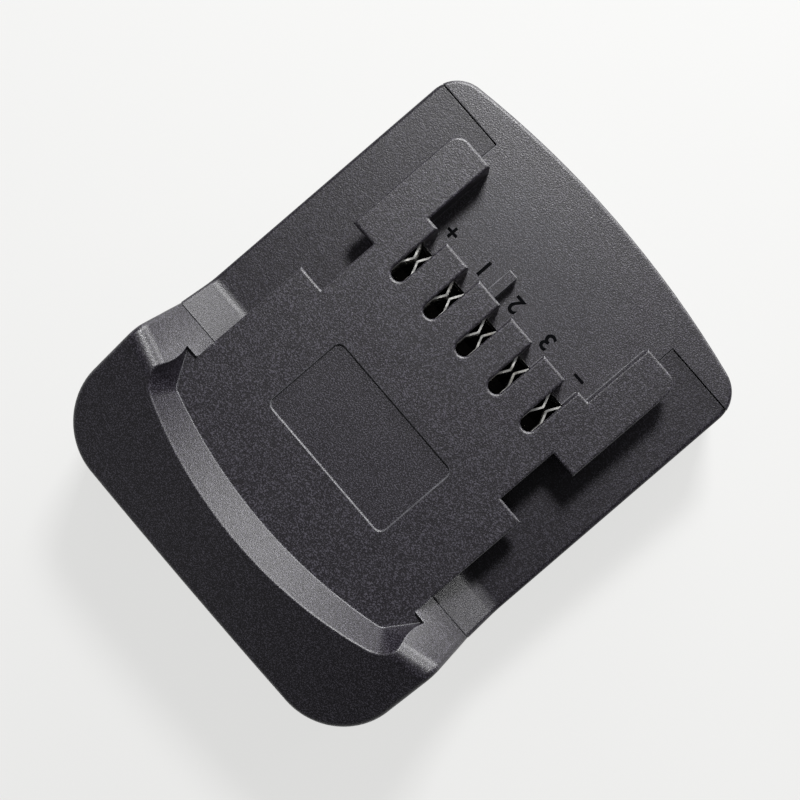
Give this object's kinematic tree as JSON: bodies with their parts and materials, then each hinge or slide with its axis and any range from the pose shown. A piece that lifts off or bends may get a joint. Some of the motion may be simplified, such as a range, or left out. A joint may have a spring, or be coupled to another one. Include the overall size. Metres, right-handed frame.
{
  "type": "tool battery adapter",
  "caption": "Slide-on adapter between two cordless-tool battery systems: railed platform with spring contacts on top, blade terminals in a channel below, and sprung side latches.",
  "frame": {"origin": "middle of the underside", "axes": "+Y towards the end that enters the tool first, +Z towards the tool, +X to the right when looking along +Y"},
  "size_m": [0.076, 0.097, 0.0394],
  "materials": {
    "upper_shell": "black nylon with a fine spark-eroded grain",
    "lower_shell": "black nylon with a fine spark-eroded grain",
    "latch": "black acetal, satin",
    "insulator": "black glass-filled nylon",
    "terminal_block": "black glass-filled nylon",
    "contact_steel": "tin-plated spring bronze, bright",
    "blade_brass": "nickel-plated brass",
    "spring_steel": "zinc-plated spring wire",
    "catch_steel": "zinc-plated steel strip",
    "screw_steel": "black zinc on steel",
    "board": "green solder mask",
    "board_parts": "moulded component bodies",
    "wire_red": "red silicone insulation",
    "wire_black": "black silicone insulation"
  },
  "bodies": {
    "root": {"upper_housing": "upper_shell", "lower_housing": "lower_shell", "clip_plus": "contact_steel", "clip_signal_a": "contact_steel", "clip_signal_b": "contact_steel", "clip_signal_c": "contact_steel", "clip_minus": "contact_steel", "clip_carrier": "insulator", "circuit_board": "board", "board_parts": "board_parts", "terminal_block": "terminal_block", "blade_plus": "blade_brass", "blade_minus": "blade_brass", "blade_signal_a": "blade_brass", "blade_signal_b": "blade_brass", "blade_signal_c": "blade_brass", "wire_plus": "wire_red", "wire_minus": "wire_black", "latch_spring_left": "spring_steel", "latch_spring_right": "spring_steel", "latch_plate": "insulator", "catch_plate": "catch_steel", "housing_screws": "screw_steel", "latch_plate_screws": "screw_steel", "carrier_screws": "screw_steel", "terminal_block_screws": "screw_steel"},
    "latch_left": {"latch_left": "latch"},
    "latch_right": {"latch_right": "latch"}
  },
  "joints": [
    {"name": "latch_left_press", "type": "slide", "parent": "root", "child": "latch_left", "axis": [1, 0, 0], "range_m": [0, 0.0032], "stiffness_N_per_m": 600, "springref_m": -0.003, "deforming": ["latch_spring_left"]},
    {"name": "latch_right_press", "type": "slide", "parent": "root", "child": "latch_right", "axis": [-1, 0, 0], "range_m": [0, 0.0032], "stiffness_N_per_m": 600, "springref_m": -0.003, "deforming": ["latch_spring_right"]}
  ]
}
